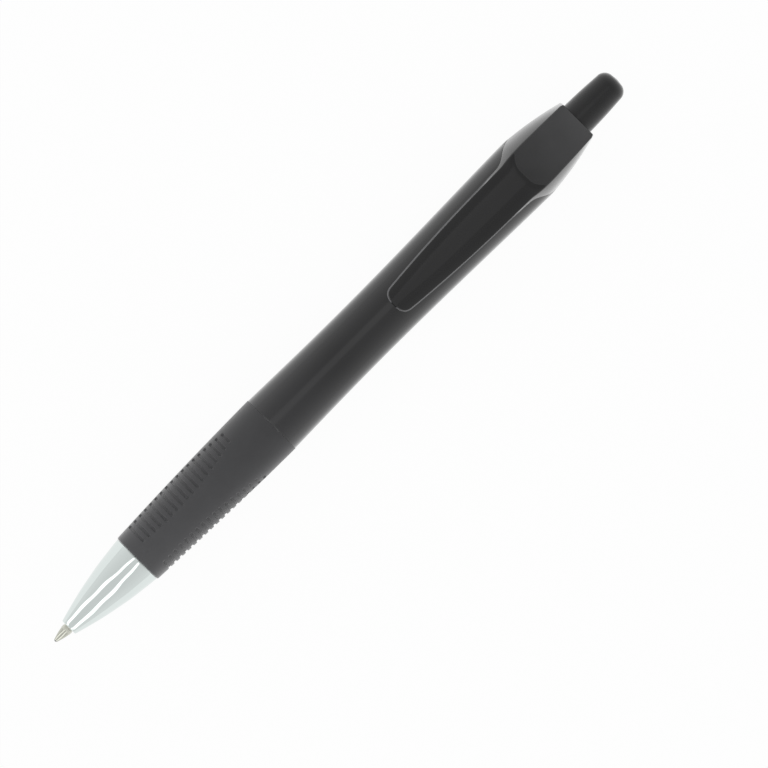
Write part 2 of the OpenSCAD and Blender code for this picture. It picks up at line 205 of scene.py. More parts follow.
def perMetre(size):  # noise scale for features of a size in mm
    return 1 / (size * mm)


noiseSpan = (0.3, 0.7)  # where most of a noise's values lie
fadeShare = 0.7         # how much of a fading look its place gives, the rest is noise


def surface(name, look):
    # A finish from two noises: a broad one that shifts tone and gloss,
    # and a fine one that gives the skin its relief
    material, tree = newMaterial(name)
    coords = addNode(tree, "ShaderNodeTexCoord")
    broad = addNode(tree, "ShaderNodeTexNoise", {"Scale": perMetre(look["broadMm"]), "Detail": 3.0},
                    {"Vector": (coords, "Object")})
    fine = addNode(tree, "ShaderNodeTexNoise",
                   {"Scale": perMetre(look["grainMm"]), "Detail": look.get("grainDetail", 2.0)},
                   {"Vector": (coords, "Object")})
    if "fade" in look:  # the look changes from dark to light between two points (s, z)
        start, end = (Vector(toWorld([(s, 0, z)])[0]) for s, z in look["fade"])
        way = (end - start).normalized()
        place = addNode(tree, "ShaderNodeVectorMath", {"operation": "DOT_PRODUCT", 1: way},
                        {0: (coords, "Object")})
        fade = addNode(tree, "ShaderNodeMapRange",
                       {1: start.dot(way), 2: end.dot(way), 3: 0.0, 4: fadeShare}, {0: (place, "Value")})
        broad = addNode(tree, "ShaderNodeMath", {"operation": "MULTIPLY_ADD", 1: 1 - fadeShare},
                        {0: (broad, 0), 2: (fade, 0)})
    tone = addNode(tree, "ShaderNodeMix",
                   {"data_type": "RGBA", 6: toLinear(look["dark"]), 7: toLinear(look["light"])},
                   {0: (broad, 0)})
    gloss = addNode(tree, "ShaderNodeMapRange",
                    {1: noiseSpan[0], 2: noiseSpan[1], 3: look["roughness"][0], 4: look["roughness"][1]},
                    {0: (broad, 0)})
    relief = addNode(tree, "ShaderNodeBump",
                     {"Strength": look["bump"], "Distance": look["reliefMm"] * mm}, {"Height": (fine, 0)})
    shader = addNode(tree, "ShaderNodeBsdfPrincipled", look.get("shader"),
                     {"Base Color": (tone, 2), "Roughness": (gloss, 0), "Normal": (relief, 0)})
    addNode(tree, "ShaderNodeOutputMaterial", {}, {"Surface": (shader, 0)})
    return material


# ABS under clear lacquer: deep black with a soft gloss and the faintest orange peel,
# paler just behind the grip
paleFrom = gripRear + 17
glossAbs = surface("abs_lacquered_black", {
    "dark": "#08080a", "light": "#28282a", "broadMm": 9, "grainMm": 0.7, "roughness": (0.17, 0.22),
    "bump": 0.05, "reliefMm": 0.02, "fade": ((paleFrom, 0), (gripRear, 0)),
    "shader": {"IOR": 1.45, "Coat Weight": 1.0, "Coat IOR": 1.4, "Coat Roughness": 0.14}})

# The collar's ABS: the same lacquer over a slightly blacker moulding
collarAbs = surface("abs_lacquered_collar", {
    "dark": "#0c0c0d", "light": "#101011", "broadMm": 7, "grainMm": 0.6, "roughness": (0.16, 0.22),
    "bump": 0.06, "reliefMm": 0.02,
    "shader": {"IOR": 1.4, "Specular IOR Level": 0.25, "Coat Weight": 1.0, "Coat IOR": 1.4,
               "Coat Roughness": 0.13}})

# The same ABS with a painted highlight: dull pale lines along the clip's lip and the collar's rim, where
# their edges catch the light
paintedHighlightAbs = surface("abs_painted_edge_highlight", {
    "dark": "#5a5a5c", "light": "#6e6e70", "broadMm": 1.5, "grainMm": 0.12, "roughness": (0.3, 0.42),
    "bump": 0.15, "reliefMm": 0.02, "shader": {"IOR": 1.45}})

# Button ABS: the blackest of the mouldings, under a duller lacquer
buttonAbs = surface("abs_lacquered_button", {
    "dark": "#08080a", "light": "#0c0c0d", "broadMm": 5, "grainMm": 0.5, "roughness": (0.24, 0.32),
    "bump": 0.06, "reliefMm": 0.02,
    "shader": {"IOR": 1.4, "Coat Weight": 0.75, "Coat IOR": 1.4, "Coat Roughness": 0.2}})

# Thermoplastic rubber, moulded matte: soft dark grey with a fine dry grain and a dusty bloom
# at grazing angles, smoother towards the point, and paler there: painted light for more light falling on
# that end
gripRubber = surface("rubber_moulded_matte", {
    "dark": "#2d2d2f", "light": "#49494b", "broadMm": 4, "grainMm": 0.14, "grainDetail": 4.0,
    "roughness": (0.5, 0.38), "bump": 0.35, "reliefMm": 0.03, "fade": ((gripRear, 0), (gripFront, 0)),
    "shader": {"IOR": 1.47, "Sheen Weight": 0.5, "Sheen Roughness": 0.48}})

# Chrome plate on a turned cone: cool bright mirror with a trace of polishing haze
chrome = surface("chrome_plate_bright", {
    "dark": "#dbe3e1", "light": "#e2e9e7", "broadMm": 6, "grainMm": 1.6, "roughness": (0.03, 0.055),
    "bump": 0.03, "reliefMm": 0.02, "shader": {"Metallic": 1.0}})

# Nickel silver, ground and polished: warm grey metal that shows clear streaks of light
nickelSilver = surface("nickel_silver_polished", {
    "dark": "#c0c1b6", "light": "#c8c9be", "broadMm": 1.5, "grainMm": 0.2, "roughness": (0.08, 0.12),
    "bump": 0.03, "reliefMm": 0.005, "shader": {"Metallic": 1.0}})

# Nickel silver, as turned: the same metal with fine tool marks that even out the light
nickelSilverTurned = surface("nickel_silver_turned", {
    "dark": "#d0d1c6", "light": "#d8d9ce", "broadMm": 1.5, "grainMm": 0.1, "roughness": (0.3, 0.38),
    "bump": 0.1, "reliefMm": 0.008, "shader": {"Metallic": 1.0}})

# Tungsten carbide, lapped: grey polished ball with a film of ink
carbide = surface("tungsten_carbide_lapped", {
    "dark": "#77787c", "light": "#8c8d90", "broadMm": 0.3, "grainMm": 0.05, "roughness": (0.12, 0.22),
    "bump": 0.05, "reliefMm": 0.004, "shader": {"Metallic": 1.0}})

# Spring steel wire, drawn: bright with fine lengthwise scratches
springSteel = surface("spring_steel_drawn", {
    "dark": "#8f9294", "light": "#a9acae", "broadMm": 1.2, "grainMm": 0.08, "roughness": (0.2, 0.32),
    "bump": 0.15, "reliefMm": 0.006, "shader": {"Metallic": 1.0}})

# Acetal, moulded: waxy black for the guide sleeve, milky white for the cam
blackAcetal = surface("acetal_moulded_black", {
    "dark": "#161618", "light": "#1c1c1e", "broadMm": 3, "grainMm": 0.3, "roughness": (0.3, 0.42),
    "bump": 0.1, "reliefMm": 0.02, "shader": {"IOR": 1.48}})
whiteAcetal = surface("acetal_moulded_natural", {
    "dark": "#d6d5cd", "light": "#e2e1da", "broadMm": 3, "grainMm": 0.3, "roughness": (0.3, 0.42),
    "bump": 0.1, "reliefMm": 0.02, "shader": {"IOR": 1.48, "Subsurface Weight": 0.15}})

# Polypropylene: the refill's clear tube, and its milky holder and dark plug
clearPolypropylene = surface("polypropylene_clear_tube", {
    "dark": "#e4e8e8", "light": "#eef1f1", "broadMm": 6, "grainMm": 0.8, "roughness": (0.12, 0.2),
    "bump": 0.05, "reliefMm": 0.02, "shader": {"IOR": 1.49, "Transmission Weight": 0.9}})
whitePolypropylene = surface("polypropylene_moulded_white", {
    "dark": "#e0e0dc", "light": "#ebebe7", "broadMm": 3, "grainMm": 0.3, "roughness": (0.3, 0.4),
    "bump": 0.1, "reliefMm": 0.02, "shader": {"IOR": 1.49}})
blackPolypropylene = surface("polypropylene_moulded_black", {
    "dark": "#2c2e32", "light": "#34363a", "broadMm": 2, "grainMm": 0.3, "roughness": (0.3, 0.4),
    "bump": 0.1, "reliefMm": 0.02, "shader": {"IOR": 1.49}})

# Gel ink, wet: nearly black and mirror smooth, and the pale grease that follows it
gelInk = surface("gel_ink_black", {
    "dark": "#08080a", "light": "#0c0c0f", "broadMm": 2, "grainMm": 0.5, "roughness": (0.04, 0.08),
    "bump": 0.03, "reliefMm": 0.02, "shader": {"IOR": 1.4}})
grease = surface("silicone_grease_pale", {
    "dark": "#d8d0b4", "light": "#e4ddc6", "broadMm": 2, "grainMm": 0.6, "roughness": (0.1, 0.18),
    "bump": 0.08, "reliefMm": 0.03, "shader": {"IOR": 1.41, "Transmission Weight": 0.4}})
print("materials made")


# The body's outline, shared by the barrel and the collar
body = {
    "frontR": 6.15,      # barrel where it meets the grip
    "waistR": 5.785,
    "crestR": 6.5,
    "capEndR": 4.29,
    "waistBehindGrip": 24.1,
    "crestBack": 13.2,   # crest in front of the collar's end
    "capBow": 0.34,
    "frontShare": 0.55,  # share of a half wave that each flank runs through
    "rearShare": 0.8,
    "splitBack": 11.6,   # split line at the axis, in front of the collar's end
    "splitTilt": 30,
    "seamGap": 0.05,
}
waistAt = gripRear + body["waistBehindGrip"]
crestAt = capEnd - body["crestBack"]
splitAt = capEnd - body["splitBack"]
splitSlope = math.tan(math.radians(body["splitTilt"]))


def halfWave(u):
    return (1 - np.cos(math.pi * u)) / 2


def flankRise(rise, share, place):  # from 0 at the waist to the full rise, along part of a half wave
    return rise * halfWave(share * place) / halfWave(share)


def bodyR(s):
    front = np.clip((waistAt - s) / (waistAt - gripRear), 0, 1)
    rear = np.clip((s - waistAt) / (crestAt - waistAt), 0, 1)
    end = np.clip((s - crestAt) / (capEnd - crestAt), 0, 1)
    r = body["waistR"] + flankRise(body["frontR"] - body["waistR"], body["frontShare"], front)
    r = r + flankRise(body["crestR"] - body["waistR"], body["rearShare"], rear)
    return r + (body["capEndR"] - body["crestR"]) * end + 4 * body["capBow"] * end * (1 - end)


# Barrel: a waisted tube with a slanted rear rim and a round snap hole at the back
barrel = {
    "columns": 192,
    "rows": (45, 11),    # in front of the hole's patch, and in the part that leans to the rim
    "frontTubeR": 4.40,
    "socketR": 3.75,
    "socketEnd": shankEnd + body["seamGap"],
    "boreR": 3.4,
    "rearBoreR": 5.335,
    "rearBoreAt": sleeveStart - body["seamGap"],
    "edge": 0.12,        # rounding of its rims
    "frontEdge": 0.04,   # and of its shoulder, close against the grip
    "plainFrom": gripRear + 0.3,
    "holeAt": sleeveStart + 4.7,
    "holeR": 1.5,
    "holeBlock": 10,     # half the patch around the hole, in columns
    "holeRings": 6,      # rings from the patch's square edge to the round rim
    "blendFrom": sleeveStart + 8.0,  # rows lean from square to the slanted rim behind this place
}


def patchHole(skin, grid, rowAt, turns, radius, rims, rowStart):
    # Fills the square left open in a grid with rings that close in on a round hole
    half, holeAt = barrel["holeBlock"], barrel["holeAt"]
    middle = len(turns) // 2
    rows = range(rowStart, rowStart + 2 * half + 1)
    cols = range(middle - half, middle + half + 1)
    loop = [(rows[0], c) for c in cols] + [(r, cols[-1]) for r in rows[1:]]
    loop += [(rows[-1], c) for c in reversed(cols[:-1])] + [(r, cols[0]) for r in reversed(rows[1:-1])]
    edge = np.array([[radius(rowAt[r]) * math.sin(turns[c] - math.pi), rowAt[r] - holeAt]
                     for r, c in loop])
    circle = edge / np.linalg.norm(edge, axis=1)[:, None]
    shares = np.linspace(0, 1, barrel["holeRings"] + 1)[1:]
    flats = [(edge * (1 - share) + circle * rims[0][0] * share, rims[0][1]) for share in shares]
    flats += [(circle * holeR, depth) for holeR, depth in rims[1:]]
    last = np.array([grid[r][c] for r, c in loop])
    for flat, depth in flats:
        s = holeAt + flat[:, 1]
        r = radius(s) - depth
        new = addPoints(skin, ring(s, r, math.pi + np.arcsin(flat[:, 0] / r)))
        stitch(skin, last, new)
        last = new
    return last


def makeBarrel():
    skin = newSkin()
    n = barrel["columns"]
    turns = 2 * math.pi * np.arange(n) / n
    half, edge, shoulder = barrel["holeBlock"], barrel["edge"], barrel["frontEdge"]
    cell = 2 * math.pi * bodyR(barrel["holeAt"]) / n
    blockRows = barrel["holeAt"] + cell * np.arange(-half, half + 1)
    rimOut = np.full(n, splitAt)
    for _ in range(8):  # the rim settles where the slanted plane meets the outer side
        rimOut = splitAt - splitSlope * bodyR(rimOut) * np.cos(turns) - body["seamGap"]
    rimIn = splitAt - splitSlope * barrel["rearBoreR"] * np.cos(turns) - body["seamGap"]
    frontAt = station("barrel", 0)

    def addRing(s, r):
        return addPoints(skin, ring(s, r, turns))

    # outer side, from the front of the tube under the grip to the slanted rim
    rowsFront, rowsLean = barrel["rows"]
    outerAt = [*np.linspace(barrel["plainFrom"], blockRows[0], rowsFront + 1)[:-1], *blockRows,
               barrel["blendFrom"]]
    tubeR, shoulderR = barrel["frontTubeR"], bodyR(gripRear)
    tube = [(frontAt, tubeR - edge), (frontAt + edge, tubeR), (gripRear, tubeR),
            (gripRear, shoulderR - shoulder), (gripRear + shoulder / 3, shoulderR - shoulder / 3),
            (gripRear + shoulder, shoulderR)]
    outer = [addRing(s, r) for s, r in tube]
    first = len(outer)
    outer += [addRing(s, bodyR(s)) for s in outerAt]
    for share in np.linspace(0, 1, rowsLean + 1)[1:]:
        s = barrel["blendFrom"] + (rimOut - edge - barrel["blendFrom"]) * share
        outer.append(addRing(s, bodyR(s)))
    outer.append(addRing(rimOut - edge / 3, bodyR(rimOut) - edge / 3))
    outer.append(addRing(rimOut, bodyR(rimOut) - edge))

    # inner side, from the rim back to the front
    innerAt = [barrel["blendFrom"], *blockRows[::-1], barrel["rearBoreAt"]]
    inner = [addRing(rimIn, barrel["rearBoreR"])]
    inner += [addRing(s, barrel["rearBoreR"]) for s in innerAt]
    steps = [(barrel["rearBoreAt"], barrel["boreR"]), (barrel["socketEnd"], barrel["boreR"]),
             (barrel["socketEnd"], barrel["socketR"]), (frontAt, barrel["socketR"])]
    inner += [addRing(s, r) for s, r in steps]

    # quads everywhere but in the two squares where the hole is
    rings = outer + inner
    blockOut = first + outerAt.index(blockRows[0])
    blockIn = len(outer) + 2
    opened = {(b, c) for start in (blockOut, blockIn) for b in range(start, start + 2 * half)
              for c in range(n // 2 - half, n // 2 + half)}
    for a in range(len(rings)):
        lower, upper = rings[a], rings[(a + 1) % len(rings)]
        for c in range(n):
            if (a, c) not in opened:
                d = (c + 1) % n
                skin["faces"].append((lower[c], lower[d], upper[d], upper[c]))
                skin["slots"].append(0)
    rowAt = {blockOut + i: s for i, s in enumerate(blockRows)}
    holeR = barrel["holeR"]
    rims = [(holeR + edge, 0), (holeR + edge / 3, edge / 3), (holeR, edge)]
    top = patchHole(skin, rings, rowAt, turns, bodyR, rims, blockOut)
    rowIn = {blockIn + i: s for i, s in enumerate(blockRows[::-1])}

    def boreR(s):
        return barrel["rearBoreR"] + 0 * np.asarray(s)

    low = patchHole(skin, rings, rowIn, turns, boreR, [(holeR, 0)], blockIn)
    # the two loops run opposite ways along the pen, so they are matched by place
    placeTop = np.array([skin["points"][i] for i in top])[:, :2]
    placeLow = np.array([skin["points"][i] for i in low])[:, :2]
    order = [int(np.argmin(np.linalg.norm(placeLow - p, axis=1))) for p in placeTop]
    stitch(skin, top, low[order])
    return makePiece("barrel_shell", skin, [glossAbs])


barrelShell = makeBarrel()
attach(barrelShell, "body")
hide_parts("barrel")
print("barrel made,", len(barrelShell.data.polygons), "faces")


# Grip: rubber sleeve with three pads of slots moulded into it
grip = {
    "columns": 216,
    "frontR": 5.25,
    "rearR": 6.19,
    "bow": 0.18,
    "boreR": 4.42,
    "frontEdge": 0.28,
    "rearEdge": 0.04,
    "padTurns": (-48, 72, 192),  # degrees from the clip
    "padMargin": 0.5,            # the fine rows run this far past the first and the last slot
    "slots": 18,
    "firstSlot": 3.15,           # from the front of the sleeve
    "pitch": 1.41,
    "slotHalf": 0.34,
    "wall": 0.13,                # how wide each slot's side slopes
    "depth": 0.28,
    "widest": 32,                # half angle of the longest slots
    "longest": (5, 6),           # which those are, counted from 0 at the front
    "shorter": (0.15, 0.65),     # share of that angle that the first and the last slot lack
    "rowStep": 0.06,
    "plainRows": (7, 14),        # in front of the pads and behind them
}


def slotReach(i):  # half angle of slot i, longest a third of the way along the pad
    first, last = grip["longest"]
    atFront, atRear = grip["shorter"]
    early = max(0.0, (first - i) / first)
    late = max(0.0, (i - last) / (grip["slots"] - 1 - last))
    return math.radians(grip["widest"] * (1 - atFront * early**2 - atRear * late**2))


def gripR(s):
    t = (s - gripFront) / (gripRear - gripFront)
    return grip["frontR"] + (grip["rearR"] - grip["frontR"]) * t + 4 * grip["bow"] * t * (1 - t)


def gripRow(s):  # the sleeve's radius around one row, with the slots cut in
    def radius(turns):
        base = gripR(s)
        cut = np.zeros_like(turns)
        i = int(round((s - gripFront - grip["firstSlot"]) / grip["pitch"]))
        if 0 <= i < grip["slots"]:
            along = s - gripFront - grip["firstSlot"] - i * grip["pitch"]
            for pad in grip["padTurns"]:
                off = np.abs((turns - math.radians(pad) + math.pi) % (2 * math.pi) - math.pi)
                past = np.maximum(0, (off - slotReach(i)) * base)
                away = np.hypot(past, along)
                cut = np.maximum(cut, smoothStep((grip["slotHalf"] - away) / grip["wall"]))
        return base - grip["depth"] * cut
    return radius


def makeGrip():
    firstAt = gripFront + grip["firstSlot"]
    padStart = firstAt - grip["padMargin"]
    padEnd = firstAt + grip["pitch"] * (grip["slots"] - 1) + grip["padMargin"]
    rowsFront, rowsRear = grip["plainRows"]
    rows = [*np.linspace(gripFront + grip["frontEdge"], padStart, rowsFront + 1)[:-1],
            *np.arange(padStart, padEnd, grip["rowStep"]),
            *np.linspace(padEnd, gripRear - grip["rearEdge"], rowsRear)]
    frontR, rearR = gripR(gripFront), gripR(gripRear)
    ends = [(gripFront, grip["boreR"]), (gripRear, grip["boreR"])]
    front = roundCorner(ends[0], (gripFront, frontR), (gripFront + 1, frontR), grip["frontEdge"])
    rear = roundCorner((gripRear - 1, rearR), (gripRear, rearR), ends[1], grip["rearEdge"])
    profile = [ends[0], *front[:-1], *[(s, gripRow(s)) for s in rows], *rear[1:], ends[1]]
    return makePiece("grip_rubber", latheSkin(profile, grip["columns"]), [gripRubber], sharp=75)


gripPiece = makeGrip()
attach(gripPiece, "body")
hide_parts("grip_sleeve")
print("grip made,", len(gripPiece.data.polygons), "faces")


# Nose: an ogive of plated metal with a guide bore and a screwed shank
nose = {
    "columns": 160,
    "rows": 89,
    "frontR": 1.75,
    "baseR": 5.1,
    "bow": 0.47,
    "lip": 0.25,         # rounding of the front edge
    "lipDepth": 0.75,    # how deep it goes, as a share of its length
    "baseEdge": 0.1,     # rounding of the edge at the grip
    "boreR": 1.27,
    "boreEdge": 0.08,
    "boreEnd": noseFront + 6.2,
    "chamberR": 2.5,
    "chamberEnd": noseFront + 12.4,
    "shankInR": 3.15,
    "shankR": 3.70,
    "shankRootR": 3.42,
    "shankEdge": 0.1,
    "threadPitch": 1.0,
    "threadAt": (0.9, 0.4),      # where it starts and ends, from the base and from the shank's end
    "threadFade": 0.6,           # length over which it rises there
    "threadRows": (0.05, 0.15),  # first and last row, from the base and from the shank's end
    "threadStep": 0.07,
    "ripple": 0.013,     # slow waves left by polishing, which make the streaks of light wander
    "rippleLength": 6.14,
    "rippleFrom": 4.36,
}
noseBase = gripFront - body["seamGap"]


def noseR(s):
    start = noseFront + nose["lip"]
    t = (s - start) / (noseBase - start)
    wave = math.sin(2 * math.pi * (s - noseFront - nose["rippleFrom"]) / nose["rippleLength"])
    wave *= nose["ripple"] * smoothStep(4 * t * (1 - t))
    return nose["frontR"] + (nose["baseR"] - nose["frontR"]) * t + 4 * nose["bow"] * t * (1 - t) + wave


def threadRow(s):  # a right hand thread: the crest moves along as the turn grows
    start, stop = nose["threadAt"]
    ends = smoothStep((s - noseBase - start) / nose["threadFade"])
    ends = ends * smoothStep((shankEnd - stop - s) / nose["threadFade"])

    def radius(turns):
        phase = (s / nose["threadPitch"] - turns / (2 * math.pi)) % 1
        crest = smoothStep((0.5 - np.abs(phase - 0.5)) * 4 - 0.5)  # flat crest and root, a flank between
        return nose["shankRootR"] + (nose["shankR"] - nose["shankRootR"]) * crest * ends
    return radius


def makeNose():
    lip, edge = nose["lip"], nose["baseEdge"]
    start = noseFront + lip
    front = [(noseFront, nose["boreR"] + nose["boreEdge"])]
    for a in np.radians([0, 15, 30, 45, 60, 75]):
        depth = lip * (1 - math.sin(a)) * nose["lipDepth"]
        front.append((start - lip * math.cos(a), nose["frontR"] - depth))
    flank = [(s, noseR(s)) for s in np.linspace(start, noseBase - edge, nose["rows"] + 1)[:-1]]
    before = (noseBase - 1, noseR(noseBase - 1))
    base = roundCorner(before, (noseBase, nose["baseR"]), (noseBase, 0), edge)
    base.append((noseBase, nose["shankRootR"]))
    first, last = nose["threadRows"]
    threadAt = np.arange(noseBase + first, shankEnd - last, nose["threadStep"])
    thread = [(s, threadRow(s)) for s in threadAt]
    inR, chamberR, boreR = nose["shankInR"], nose["chamberR"], nose["boreR"]
    back = [(shankEnd, nose["shankRootR"] - nose["shankEdge"]), (shankEnd, inR),
            (nose["chamberEnd"], inR), (nose["chamberEnd"], chamberR),
            (nose["boreEnd"], chamberR), (nose["boreEnd"], boreR), (noseFront + nose["boreEdge"], boreR)]
    skin = latheSkin(front + flank + base + thread + back, nose["columns"])
    return makePiece("nose_chrome", skin, [chrome], sharp=40)


nosePiece = makeNose()
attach(nosePiece, "nose")
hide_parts("nose_cone")
print("nose made,", len(nosePiece.data.polygons), "faces")


# Writing point: polished cone with a crimped lip around the ball, then a turned band with one groove
point = {
    "columns": 72,
    "ballR": 0.35,
    "seatR": 0.362,
    "seatTurns": (55, 75, 95),  # degrees that the seat reaches around the ball
    "lip": ((0.21, 0.345), (0.195, 0.36), (0.24, 0.375), (0.37, 0.405)),  # (s, radius)
    "cone": ((1.1, 0.635), (1.9, 0.845), (2.72, 1.0)),
    "coneFrom": 0.41,           # its first row behind the lip
    "coneRows": 24,
    "bandR": 1.05,
    "bandEdge": ((0.03, 0.01), (0.08, 0)),  # (behind the cone, below the band)
    "grooveAt": 3.46,
    "grooveHalf": 0.08,
    "grooveWall": 0.03,
    "grooveDepth": 0.1,
    "end": 15.08,
    "endEdge": 0.1,
    "channelR": 0.55,
    "channelFrom": 0.85,
    "throat": (0.62, 0.3),      # where the channel narrows to the seat
    "turnedFrom": 0.65,         # the metal behind the cone is turned outside this radius
}


def makePoint():
    bandR, groove, channelR = point["bandR"], point["grooveHalf"], point["channelR"]
    coneEnd = point["cone"][-1][0]
    cone = curveThrough([point["lip"][-1], *point["cone"]])
    flank = [(s, float(cone(s))) for s in np.linspace(point["coneFrom"], coneEnd, point["coneRows"])]
    band = [(coneEnd + s, bandR - depth) for s, depth in point["bandEdge"]]
    for side in (-1, 1):
        wall = [(side * (groove + point["grooveWall"]), 0), (side * groove, -point["grooveDepth"])]
        band += [(point["grooveAt"] + s, bandR + r) for s, r in wall[::-side]]
    shank = [(point["end"] - point["endEdge"], bandR), (point["end"], bandR - point["endEdge"]),
             (point["end"], channelR), (point["channelFrom"], channelR), point["throat"]]
    seat = [(point["ballR"] + point["seatR"] * math.cos(a), point["seatR"] * math.sin(a))
            for a in np.radians(point["seatTurns"])]
    skin = latheSkin([*point["lip"], *flank, *band, *shank, *seat], point["columns"])
    for k, face in enumerate(skin["faces"]):
        s, y, z = np.mean([skin["points"][i] for i in face], 0)
        skin["slots"][k] = int(s > coneEnd and math.hypot(y, z) > point["turnedFrom"])
    return makePiece("point_nickel_silver", skin, [nickelSilver, nickelSilverTurned], sharp=28)


pointPiece = makePoint()
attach(pointPiece, "refill")
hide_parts("point_body")
print("point made")


# Collar and clip: one moulding, with a flat sloping facet, a crowned clip arm and a slanted rim
cap = {
    "bendH": 9.05,       # height of the bend above the axis
    "bendBack": 14.3,    # bend in front of the collar's end
    "facetEndH": 4.62,
    "clipEndH": 7.857,
    "bendBlend": 0.45,   # softness of the bend
    "crownFlat": 0.28,   # share of the clip's half width that is flat
    "crownFlatEnd": 0.1,
    "crownReach": 12,    # length over which that share grows, from the clip's end
    "crownDrop": 0.6,
    "topLead": 3,        # the collar's edge follows the arm's from here in front of their seam
    "topWidths": ((-1.8, 4.0), (0, 4.2), (2.5, 4.29), (7, 4.21)),  # (behind the bend, half width)
    "topEndW": 4.05,
    "edge": 0.15,        # rounding between top and sides on the arm
    "collarEdge": 0.28,  # and on the collar
    "edgeReach": 4,      # length over which it grows, from their seam
    "rimEdge": 0.13,     # chamfer along the slanted rim
    "endEdge": 0.3,
    "cornerR": 0.7,      # rounding of the facet's rear corners, seen from above
    "fineRows": (1.2, 3.4),  # rows are close together this far in front of the bend and behind it
    "bowReach": (3, 6),  # and bow back with the bend over this length
    "satinLead": 1.5,    # the facet's satin starts to pale this far in front of the bend
    "sideBulge": 0.65,   # how far down the collar's sides are rounded, as a share
    "bulgeReach": 6.0,   # length over which the sides take that shape
    "under": 7.35,       # underside of the clip at its root
    "filletReach": 1.9,  # fillet between clip and slanted rim
    "filletLow": 4.9,
    "rootLow": 6.65,     # the face under the clip leaves the slanted rim's plane at this height
    "rootCurve": (0.12, 7.1),  # bends forward: (in front of the upper end of that plane, height)
    "rootFlat": 0.75,    # and lies flat from here on
    "buttonBoreR": 3.52,
    "boreEdge": 0.1,
    "stopAt": capEnd - 4.5,
    "cavityR": 4.435,
    "sleeveEnd": sleeveEnd + body["seamGap"],
    "sleeveR": 5.335,
}
bendAt = capEnd - cap["bendBack"]
underAt = splitAt - splitSlope * cap["under"]
seamAt = underAt - cap["filletReach"]
clipSlope = (cap["bendH"] - cap["clipEndH"]) / (bendAt - clipEnd)
facetSlope = (cap["bendH"] - cap["facetEndH"]) / (capEnd - bendAt)


def facetZ(s):  # height of the facet's plane
    return cap["bendH"] - facetSlope * (s - bendAt)


# ABS from a spark eroded patch of the tool: fine even grain that turns the gloss to satin,
# paler to the rear
satinFrom = bendAt - cap["satinLead"]
satinAbs = surface("abs_satin_black", {
    "dark": "#121213", "light": "#474748", "broadMm": 5, "grainMm": 0.16, "roughness": (0.42, 0.52),
    "bump": 0.25, "reliefMm": 0.02, "shader": {"IOR": 1.5},
    "fade": ((satinFrom, facetZ(satinFrom)), (capEnd, facetZ(capEnd)))})

clip = {
    "rootW": 4.15,       # half width of the arm's outline at its root
    "endW": 2.9,
    "bow": 0.39,
    "rootBack": 15.4,    # the root, in front of the collar's end
    "fineFrom": 4.6,     # rows are close together from here on, from the clip's end
    "roundFrom": 2.3,    # where the rounded end begins
    "roundShape": 2.9,   # 2 is an ellipse, more is squarer
    "lipOut": 0.205,     # how far the lip along the lower edge stands out
    "lipHigh": 0.3,
    "lipFade": 5.0,      # near the root the lip flattens into the side over this length
    "plainEnd": 0.6,     # half width of the stretch at its end that has no painted highlight
    "endThick": 1.3,
    "beadAt": 3.2,
    "beadR": 0.85,
    "beadDepth": 0.55,
    "beadSteep": 6,      # how steeply it ends at the arm's sides
}
clipRoundAt = clipEnd + clip["roundFrom"]


def clipOutline(s):  # half width over the lower edges
    t = (s - clipRoundAt) / (capEnd - clip["rootBack"] - clipRoundAt)
    return clip["endW"] + (clip["rootW"] - clip["endW"]) * t + 4 * clip["bow"] * t * (1 - t)


def underZ(s):  # underside of the arm
    endUnder = cap["clipEndH"] - clip["endThick"]
    return endUnder + (cap["under"] - endUnder) * (s - clipEnd) / (seamAt - clipEnd)


def armEdge(s):  # half width of the arm's top
    return clipOutline(s) - clip["lipOut"]


collarEdge = curveThrough([
    *[(s, armEdge(s)) for s in (seamAt - cap["topLead"], seamAt)],
    *[(bendAt + behind, w) for behind, w in cap["topWidths"]], (capEnd, cap["topEndW"])])


def topEdge(s):  # half width of the top face, on the clip arm and on the collar
    late = np.clip((s - capEnd) / cap["cornerR"] + 1, 0, 1)
    corner = cap["cornerR"] * (1 - np.sqrt(1 - late**2))
    return np.where(s < seamAt, armEdge(s), collarEdge(s) - corner)


def edgeAt(s):  # rounding between the top and the sides
    share = float(smoothStep((s - seamAt) / cap["edgeReach"]))
    return cap["edge"] + (cap["collarEdge"] - cap["edge"]) * share


def topZ(s, y):  # height of the top face: the crowned arm and the flat facet, blended at the bend
    share = smoothStep((s - clipEnd) / cap["crownReach"])
    flat = cap["crownFlatEnd"] + (cap["crownFlat"] - cap["crownFlatEnd"]) * share
    roll = np.clip((np.abs(y) / topEdge(s) - flat) / (1 - flat), 0, None)
    arm = cap["bendH"] - clipSlope * (bendAt - s) - cap["crownDrop"] * roll**2
    facet = facetZ(s)
    near = np.clip(1 - np.abs(arm - facet) / cap["bendBlend"], 0, None)
    return np.minimum(arm, facet) - near**2 * cap["bendBlend"] / 4


def rimAt(z):  # place of the slanted rim at a height, curving forward under the clip
    plane = splitAt - splitSlope * z
    t = np.sqrt(np.clip((cap["under"] - z) / (cap["under"] - cap["filletLow"]), 0, 1))
    low = splitAt - splitSlope * cap["filletLow"]
    fillet = (1 - t) ** 2 * seamAt + 2 * t * (1 - t) * underAt + t**2 * low
    return np.where(z < cap["filletLow"], plane, fillet)


def sideCurve(s):  # the collar's side, from the edge of the top to where it runs into the round back
    w, r = float(topEdge(s)), float(bodyR(s))
    corner = np.array([w, float(topZ(s, w))])
    lean = math.atan2(corner[1], corner[0]) - math.acos(min(1, r / math.hypot(*corner)))
    lean *= 1 - cap["sideBulge"] * float(smoothStep((s - seamAt) / cap["bulgeReach"]))
    foot = r * np.array([math.cos(lean), math.sin(lean)])
    pull = np.linalg.norm(foot - corner) / 2
    control = foot + pull * np.array([-math.sin(lean), math.cos(lean)])
    return corner, control, foot, lean


